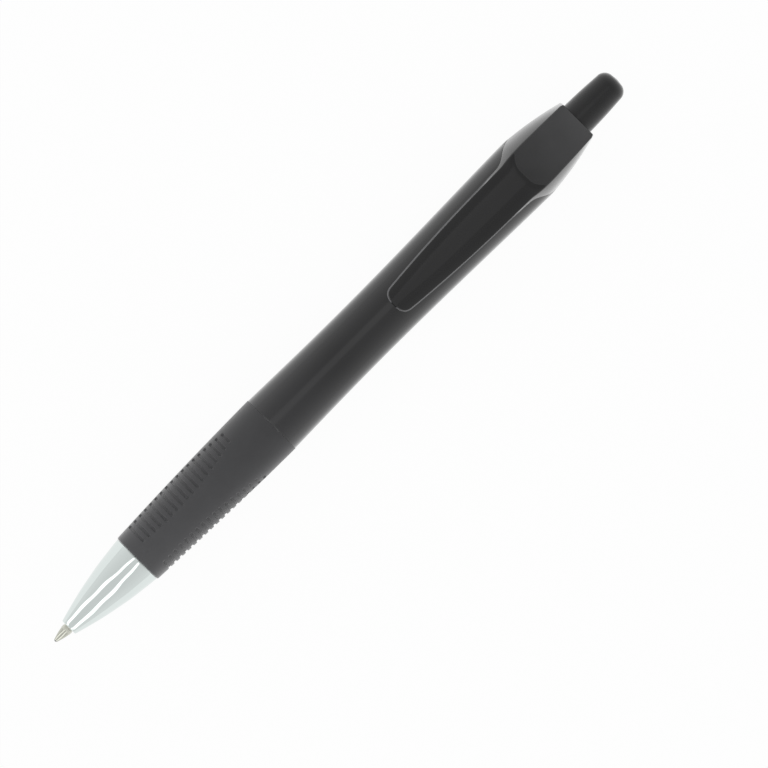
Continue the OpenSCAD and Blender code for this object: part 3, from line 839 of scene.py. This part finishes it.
def halfSection(kind, share, s):
    # one point of the collar's section, on the right half: top, edge, side and round back in turn
    corner, control, foot, lean = sideCurve(s)
    e = edgeAt(s)
    begin = e / (2 * np.linalg.norm(control - corner))

    def side(t):
        return (1 - t) ** 2 * corner + 2 * t * (1 - t) * control + t * t * foot

    if kind == "top":
        y = share * (corner[0] - e)
        return np.array([y, float(topZ(s, y))])
    if kind == "edge":
        start = np.array([corner[0] - e, float(topZ(s, corner[0] - e))])
        return (1 - share) ** 2 * start + 2 * share * (1 - share) * corner + share**2 * side(begin)
    if kind == "side":
        return side(begin + (1 - begin) * share)
    a = lean + (-math.pi / 2 - lean) * share
    return np.linalg.norm(foot) * np.array([math.cos(a), math.sin(a)])


def sideShare(z):  # share of the collar's side that lies above a height, where it joins the clip
    high, low = (halfSection("side", end, seamAt)[1] for end in (0, 1))
    return (high - z) / (high - low)


def bendBow(kind, share):  # how far behind the middle of the bend its crease lies in one column
    flat, w = cap["crownFlat"], float(topEdge(bendAt))
    y = 1 - edgeAt(bendAt) / w
    roll = max(0.0, (y * (share if kind == "top" else 1) - flat) / (1 - flat))
    bow = cap["crownDrop"] * roll**2 / (clipSlope + facetSlope)
    return bow * {"top": 1, "edge": 1, "side": 1 - smoothStep(share), "back": 0}[kind]


def makeCap():
    tops = [("top", t) for t in np.linspace(0, 1, 17)]
    edges = [("edge", t) for t in quarters]
    lower, low = sideShare(cap["under"]), sideShare(cap["filletLow"])
    sides = [("side", lower * t) for t in quarters]
    sides += [("side", lower + (low - lower) * t * t) for t in np.linspace(0, 1, 13)[1:]]
    sides += [("side", low + (1 - low) * t) for t in (0.33, 0.66, 1.0)]
    backs = [("back", t) for t in np.linspace(0, 1, 33)[1:]]
    columns = tops + edges + sides + backs
    onClip = len(tops) + len(edges) + len(quarters)  # columns that run on into the clip

    starts = []
    for i, (kind, share) in enumerate(columns):
        s = seamAt
        if i >= onClip:
            for _ in range(30):  # settles on the slanted rim
                s = float(rimAt(halfSection(kind, share, s)[1]))
        starts.append(s)
    lastRow = capEnd - cap["endEdge"]
    cornerAt = capEnd - cap["cornerR"]
    fineFrom, fineTo = bendAt - cap["fineRows"][0], bendAt + cap["fineRows"][1]
    rowsBefore = [*np.linspace(seamAt, fineFrom, 9)[:-1], *np.linspace(fineFrom, bendAt, 8)[:-1]]
    rowsTop = [*rowsBefore, *np.linspace(bendAt, fineTo, 20)[:-1],
               *np.linspace(fineTo, cornerAt, 13)[:-1], *np.linspace(cornerAt, lastRow, 5)]

    def fullRing(half):  # right half in, whole ring out, starting at the top
        left = [(s, -y, z) for s, y, z in half[-2:0:-1]]
        return np.array(list(half) + left)

    def inset(points, depth):  # moved inwards along the section's own normal
        flat = points[:, 1:]
        along = np.roll(flat, -1, 0) - np.roll(flat, 1, 0)
        normal = np.stack([along[:, 1], -along[:, 0]], 1) / np.linalg.norm(along, axis=1)[:, None]
        outward = np.sign((normal * flat).sum(1).mean())
        moved = points.copy()
        moved[:, 1:] -= outward * normal * np.asarray(depth)[..., None]
        return moved

    skin = newSkin()
    rows = []
    bows = [bendBow(kind, part) for kind, part in columns]
    for row in rowsTop:
        share = (row - seamAt) / (lastRow - seamAt)
        near = smoothStep(1 - abs(row - bendAt) / cap["bowReach"][int(row > bendAt)])
        half = []
        for (kind, part), s0, bow in zip(columns, starts, bows):
            s = s0 + (lastRow - s0) * share + bow * near
            half.append((s, *halfSection(kind, part, s)))
        rows.append(fullRing(half))
    # a fine chamfer along the free rim, none where the clip joins
    halfDepth = np.array([0.0] * onClip + [cap["rimEdge"]] * (len(columns) - onClip))
    depth = np.concatenate([halfDepth, halfDepth[-2:0:-1]])
    second = rows[0].copy()
    second[:, 0] += depth
    rim = inset(rows[0], depth)
    outer = [rim, second] + rows[1:]
    ends = []
    for a in np.radians([22.5, 45, 67.5, 90]):
        moved = inset(rows[-1], np.full(len(rows[-1]), cap["endEdge"] * (1 - math.cos(a))))
        moved[:, 0] = lastRow + cap["endEdge"] * math.sin(a)
        ends.append(moved)

    def around(points, s, r):  # a circle with its points at the same angles as a ring's
        angle = np.arctan2(points[:, 1], points[:, 2])
        return np.stack([np.full(len(points), s), r * np.sin(angle), r * np.cos(angle)], 1)

    boreR, boreEdge, cavityR = cap["buttonBoreR"], cap["boreEdge"], cap["cavityR"]
    lip = around(ends[-1], capEnd, boreR + boreEdge)
    faceRings = [ends[-1] * (1 - t) + lip * t for t in (0.35, 0.7, 1.0)]
    steps = [(capEnd - boreEdge, boreR), (cap["stopAt"], boreR), (cap["stopAt"], cavityR),
             (cap["sleeveEnd"], cavityR), (cap["sleeveEnd"], cap["sleeveR"])]
    bore = [around(lip, s, r) for s, r in steps]
    # the front face: down the slanted plane, and forward under the clip to where it joins
    front = around(rim, 0, cap["sleeveR"])
    front[:, 0] = splitAt - splitSlope * front[:, 2]
    free = depth > 0
    ahead, bentZ = cap["rootCurve"]
    rootPath = [(splitAt - splitSlope * cap["rootLow"], cap["rootLow"]), (underAt - ahead, bentZ),
                (underAt - cap["rootFlat"], cap["under"]), (seamAt, cap["under"])]
    under = []
    for s, z in rootPath:
        path = rim.copy()
        path[~free, 0] = s
        path[~free, 2] = z
        under.append(path)
    for k, path in enumerate(under):
        t = (k + 1) / (len(under) + 1)
        path[free] = front[free] * (1 - t) + rim[free] * t
    loops = outer + ends + faceRings + bore + [front] + under
    ids = [addPoints(skin, loop) for loop in loops]
    for a in range(len(ids)):
        stitch(skin, ids[a], ids[(a + 1) % len(ids)])
    # satin behind the bend, over the facet and most of its rounded edges
    count = len(rim)
    for a in range(len(rowsBefore) + 1, len(outer) + 1):
        for k in range(count):
            if min(k, count - 1 - k) < len(tops) + 2:
                skin["slots"][a * count + k] = 1
    # and a pale painted highlight along the free rim
    for k in range(count):
        if free[k] and free[(k + 1) % count]:
            skin["slots"][k] = 2
    return makePiece("collar_moulding", skin, [collarAbs, satinAbs, paintedHighlightAbs], sharp=38)


capPiece = makeCap()
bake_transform(capPiece)
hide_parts("end_cap")
print("collar made,", len(capPiece.data.polygons), "faces")


def makeClip():
    # rows follow the outline, so that the rounded end keeps its edge
    fineFrom = clipEnd + clip["fineFrom"]
    plain = [*np.linspace(seamAt, fineFrom, 40)[:-1], *np.linspace(fineFrom, clipRoundAt, 16)]
    top = [(s, armEdge(s)) for s in plain]
    reach, power = clip["roundFrom"] - clip["lipOut"], 2 / clip["roundShape"]
    for t in np.radians(np.linspace(0, 90, 24)[1:]):
        s = clipRoundAt - reach * math.sin(t) ** power
        top.append((s, armEdge(s) * max(0.0, math.cos(t)) ** power))
    top = np.array(top)
    way = np.gradient(top, axis=0)
    normal = np.stack([way[:, 1], -way[:, 0]], 1) / np.linalg.norm(way, axis=1)[:, None]
    normal[-1] = (-1, 0)

    def beadDrop(s):
        bead = math.sqrt(max(0, clip["beadR"] ** 2 - (s - clipEnd - clip["beadAt"]) ** 2))
        return max(0, bead - (clip["beadR"] - clip["beadDepth"]))

    e = cap["edge"]
    edgeFrom = 16  # columns over the top, before its edge
    joinOut = halfSection("side", sideShare(cap["under"]), seamAt)[0] - armEdge(seamAt)
    skin = newSkin()
    rings = []
    for (s, w), (ns, ny) in zip(top, normal):
        inS, inW = s - e * ns, max(0.0, w - e * ny)
        half = [(inS, v * inW, float(topZ(inS, v * inW))) for v in np.linspace(0, 1, edgeFrom + 1)]
        corner = np.array([s, w, float(topZ(s, w))])
        clear = smoothStep((seamAt - s) / clip["lipFade"])
        out = joinOut + (clip["lipOut"] - joinOut) * clear  # it flares to meet the collar's side
        lowS, lowY = s + ns * out, w + ny * out
        foot = np.array([lowS, lowY, underZ(lowS)])
        slant = foot + (corner - foot) * clip["lipHigh"] / (corner[2] - foot[2])
        plumb = np.array([s, w, slant[2]])
        knee = slant + (plumb - slant) * clear
        start = np.array(half[-1])
        end = corner + (knee - corner) / np.linalg.norm(knee - corner) * e
        for t in quarters:
            half.append(tuple((1 - t) ** 2 * start + 2 * t * (1 - t) * corner + t * t * end))
        half += [tuple(a + (b - a) * t) for a, b in ((end, knee), (knee, foot)) for t in (0.5, 1.0)]
        for v in np.linspace(1, 0, 9)[1:]:
            drop = beadDrop(lowS) * smoothStep((1 - v) * clip["beadSteep"])
            half.append((lowS, lowY * v, underZ(lowS) - drop))
        left = [(a, -b, c) for a, b, c in half[-2:0:-1]]
        rings.append(addPoints(skin, half + left))
    for lower, upper in zip(rings, rings[1:]):
        stitch(skin, lower, upper)
    # the lip gets a pale painted highlight
    lipFrom = edgeFrom + len(quarters) + 2  # behind the edge and the side
    count = len(rings[0])
    for k, face in enumerate(skin["faces"]):
        column = min(k % count, count - 1 - k % count)
        y = np.mean([skin["points"][i][1] for i in face])
        if lipFrom <= column < lipFrom + 2 and abs(y) > clip["plainEnd"]:
            skin["slots"][k] = 1
    # the wall where the arm joins the collar
    for i in range(count // 2):
        a, b = rings[0][i], rings[0][i + 1]
        c, d = rings[0][(count - i - 1) % count], rings[0][(count - i) % count]
        skin["faces"].append((a, b, c, d))
        skin["slots"].append(0)
    return makePiece("clip_arm", skin, [collarAbs, paintedHighlightAbs], sharp=28)


clipPiece = makeClip()
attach(clipPiece, "clip")
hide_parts("pocket_clip")
print("clip made,", len(clipPiece.data.polygons), "faces")


# Button: a slightly tapered plunger with a domed end
button = {
    "columns": 96,
    "start": station("push_button", 0),
    "baseR": 3.435,
    "baseEdge": 0.15,
    "straight": (capEnd - 17.7, capEnd - 0.7),  # rows of its straight part
    "taperFrom": capEnd - 0.5,
    "middleR": 3.31,
    "endR": 3.05,
    "round": 2.0,
    "crown": 0.12,       # how far the end face domes
    "inR": 2.505,
    "inEnd": penEnd - 2.93,
    "inEdge": 0.3,
}


def makeButton():
    roundAt = penEnd - button["crown"] - button["round"]
    middle = (button["taperFrom"] + roundAt) / 2
    flank = curveThrough([(button["taperFrom"], button["baseR"]), (middle, button["middleR"]),
                          (roundAt, button["endR"])])
    start, baseR, edge = button["start"], button["baseR"], button["baseEdge"]
    profile = [(start, button["inR"]), (start, baseR - edge), (start + edge, baseR)]
    profile += [(s, baseR) for s in np.linspace(*button["straight"], 12)]
    profile += [(s, float(flank(s))) for s in np.linspace(button["taperFrom"], roundAt, 14)]
    faceR = button["endR"] - button["round"]
    for a in np.radians(np.linspace(0, 90, 15)[1:]):
        profile.append((roundAt + button["round"] * math.sin(a), faceR + button["round"] * math.cos(a)))
    for t in np.linspace(1, 0, 8)[1:]:
        profile.append((penEnd - button["crown"] * t * t, faceR * t))
    inEnd, inR, inEdge = button["inEnd"], button["inR"], button["inEdge"]
    inside = [(inEnd, 0.0), (inEnd, inR - inEdge), (inEnd - inEdge, inR)]
    skin = latheSkin(profile + inside, button["columns"])
    return makePiece("button_plunger", skin, [buttonAbs], sharp=40)


buttonPiece = makeButton()
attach(buttonPiece, "button")
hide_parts("push_button")
print("button made")


# The inner pieces keep their own shape and take their real material
innerFinish = {
    "cam_sleeve": blackAcetal,
    "cam_rotor": whiteAcetal,
    "return_spring": springSteel,
    "refill_tube": clearPolypropylene,
    "gel_ink": gelInk,
    "ink_follower": grease,
    "tip_holder": whitePolypropylene,
    "writing_ball": carbide,
    "ball_spring": springSteel,
    "tail_plug": blackPolypropylene,
}
for node, material in innerFinish.items():
    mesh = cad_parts[node].data
    mesh.materials.clear()
    mesh.materials.append(material)
print("inner pieces finished:", len(innerFinish))


# Studio: a white table under a tent that is dimmer overhead, with two bright panels over the pen's point
studio = {
    "tableSize": 3.0,
    "tableGap": 0.00002,       # metres under the pen
    "tableColour": "#f4f4f4",
    "tableWhite": 0.96,        # how much of the table the eye sees as plain white
    "heights": (0.2, 0.9),     # low down and high up, as a direction's rise
    "side": (0.87, 0.55),      # the tent's brightness there, beside the pen
    "front": (0.84, 0.74),     # and towards the pen's point
    "frontFrom": (0.05, 0.2),
    "panel": 0.95,             # added by the two panels
    "panelTurn": (42, 58.5),   # degrees from the pen's point, to both sides
    "panelSoft": 1.5,          # degrees over which their sides fade
    "nearPanelWider": 1.2,     # degrees more on the near side
    "nearSide": 0.05,          # a direction that leans this far to a side counts in full
    "panelHeight": (0.3, 0.965),
    "panelFade": (0.05, 0.008),  # how softly they end below and above
    "lampEnergy": 0.134,
    "lampSize": 0.52,
    "lampAt": (0, 0.127, 1.294),
}


def makeTable():
    half = studio["tableSize"] / 2
    mesh = bpy.data.meshes.new("table")
    corners = [(-half, -half, 0), (half, -half, 0), (half, half, 0), (-half, half, 0)]
    mesh.from_pydata(corners, [], [(0, 1, 2, 3)])
    table = bpy.data.objects.new("table", mesh)
    bpy.context.scene.collection.objects.link(table)
    material, tree = newMaterial("table_white_paper")
    paths = addNode(tree, "ShaderNodeLightPath")
    seen = addNode(tree, "ShaderNodeMath", {"operation": "MAXIMUM"},
                   {0: (paths, "Is Camera Ray"), 1: (paths, "Is Glossy Ray")})
    seen = addNode(tree, "ShaderNodeMath", {"operation": "MAXIMUM"},
                   {0: (seen, 0), 1: (paths, "Is Transmission Ray")})
    share = addNode(tree, "ShaderNodeMath", {"operation": "MULTIPLY", 1: studio["tableWhite"]},
                    {0: (seen, 0)})
    paper = addNode(tree, "ShaderNodeBsdfDiffuse", {"Color": toLinear(studio["tableColour"])})
    white = addNode(tree, "ShaderNodeEmission", {"Color": (1, 1, 1, 1), "Strength": 1.0})
    mix = addNode(tree, "ShaderNodeMixShader", {}, {0: (share, 0), 1: (paper, 0), 2: (white, 0)})
    addNode(tree, "ShaderNodeOutputMaterial", {}, {"Surface": (mix, 0)})
    mesh.materials.append(material)
    table.location = (0, 0, cadBox[0].z - studio["tableGap"])


def makeTent():
    world = bpy.data.worlds.new("tent")
    bpy.context.scene.world = world
    world.use_nodes = True
    tree = world.node_tree
    tree.nodes.clear()
    coords = addNode(tree, "ShaderNodeTexCoord")
    split = addNode(tree, "ShaderNodeSeparateXYZ", {}, {0: (coords, "Generated")})
    low, high = studio["heights"]
    beside, towards = (addNode(tree, "ShaderNodeMapRange", {1: low, 2: high, 3: level[0], 4: level[1]},
                               {0: (split, "Z")}) for level in (studio["side"], studio["front"]))
    ahead = addNode(tree, "ShaderNodeMath", {"operation": "MULTIPLY", 1: -1.0}, {0: (split, "X")})
    begin, full = studio["frontFrom"]
    front = addNode(tree, "ShaderNodeMapRange",
                    {"interpolation_type": "SMOOTHSTEP", 1: begin, 2: full}, {0: (ahead, 0)})
    tent = addNode(tree, "ShaderNodeMix", {"data_type": "FLOAT"},
                   {0: (front, 0), 2: (beside, 0), 3: (towards, 0)})
    # the panels: a wedge of directions on each side, cut off near the top and near the table
    side = addNode(tree, "ShaderNodeMath", {"operation": "ABSOLUTE"}, {0: (split, "Y")})
    turn = addNode(tree, "ShaderNodeMath", {"operation": "ARCTAN2"}, {0: (side, 0), 1: (ahead, 0)})
    near, far = (math.radians(a) for a in studio["panelTurn"])
    bottom, top = studio["panelHeight"]
    fadeLow, fadeHigh = studio["panelFade"]
    soft, more = math.radians(studio["panelSoft"]), math.radians(studio["nearPanelWider"])
    lean = studio["nearSide"]
    wider = addNode(tree, "ShaderNodeMapRange", {1: -lean, 2: lean, 3: more, 4: 0.0}, {0: (split, "Y")})
    past = addNode(tree, "ShaderNodeMath", {"operation": "SUBTRACT"}, {0: (turn, 0), 1: (wider, 0)})
    panel = addNode(tree, "ShaderNodeMapRange",
                    {"interpolation_type": "SMOOTHSTEP", 1: near - soft, 2: near + soft,
                     3: 0.0, 4: studio["panel"]}, {0: (turn, 0)})
    windows = [(past, 0, far - soft, far + soft, 1.0), (split, "Z", bottom - fadeLow, bottom, 0.0),
               (split, "Z", top, top + fadeHigh, 1.0)]
    for source, output, start, end, before in windows:
        window = addNode(tree, "ShaderNodeMapRange",
                         {"interpolation_type": "SMOOTHSTEP", 1: start, 2: end,
                          3: before, 4: 1.0 - before}, {0: (source, output)})
        panel = addNode(tree, "ShaderNodeMath", {"operation": "MULTIPLY"},
                        {0: (panel, 0), 1: (window, 0)})
    total = addNode(tree, "ShaderNodeMath", {"operation": "ADD"}, {0: (tent, 0), 1: (panel, 0)})
    back = addNode(tree, "ShaderNodeBackground", {"Color": (1, 1, 1, 1)}, {"Strength": (total, 0)})
    addNode(tree, "ShaderNodeOutputWorld", {}, {"Surface": (back, 0)})


def makeLamp():  # a round soft lamp right overhead, a little brighter than the tent around it
    lamp = bpy.data.lights.new("overhead_light", "AREA")
    lamp.shape = "DISK"
    lamp.size = studio["lampSize"]
    lamp.energy = studio["lampEnergy"]
    holder = bpy.data.objects.new("overhead_light", lamp)
    bpy.context.scene.collection.objects.link(holder)
    holder.location = studio["lampAt"]


makeTable()
makeTent()
makeLamp()
print("studio lit")


# Camera: nearly straight above, a little to the far side, with the pen running to the upper right
view = {
    "lens": 1200.0,
    "sensor": 36.0,
    "clipRange": (0.01, 20),   # metres
    "picture": 768,            # pixels
    "lengthPx": 794.75,        # the pen's length in the picture
    "middlePx": (335.88, 360.29),
    "roll": 3.0,               # degrees that the clip leans to the near side
    "turn": 45,                # degrees that the pen rises to the right
}


def makeCamera():
    data = bpy.data.cameras.new("camera")
    data.lens, data.sensor_width = view["lens"], view["sensor"]
    data.clip_start, data.clip_end = view["clipRange"]
    holder = bpy.data.objects.new("camera", data)
    bpy.context.scene.collection.objects.link(holder)
    roll, turn = math.radians(view["roll"]), math.radians(view["turn"])
    back = Vector((0, math.sin(roll), math.cos(roll)))
    along = Vector((1, 0, 0))
    left = back.cross(along)
    right = along * math.cos(turn) - left * math.sin(turn)
    up = along * math.sin(turn) + left * math.cos(turn)
    perPx = penEnd * mm / view["lengthPx"]
    aim = Vector((tipX + penEnd * mm / 2, axisY, axisZ))
    aim += right * (view["picture"] / 2 - view["middlePx"][0]) * perPx
    aim -= up * (view["picture"] / 2 - view["middlePx"][1]) * perPx
    distance = view["picture"] * perPx * view["lens"] / view["sensor"]
    facing = Matrix((right, up, back)).transposed().to_4x4()
    holder.matrix_world = Matrix.Translation(aim + back * distance) @ facing
    bpy.context.scene.camera = holder


makeCamera()
bpy.context.scene.view_settings.view_transform = "Standard"
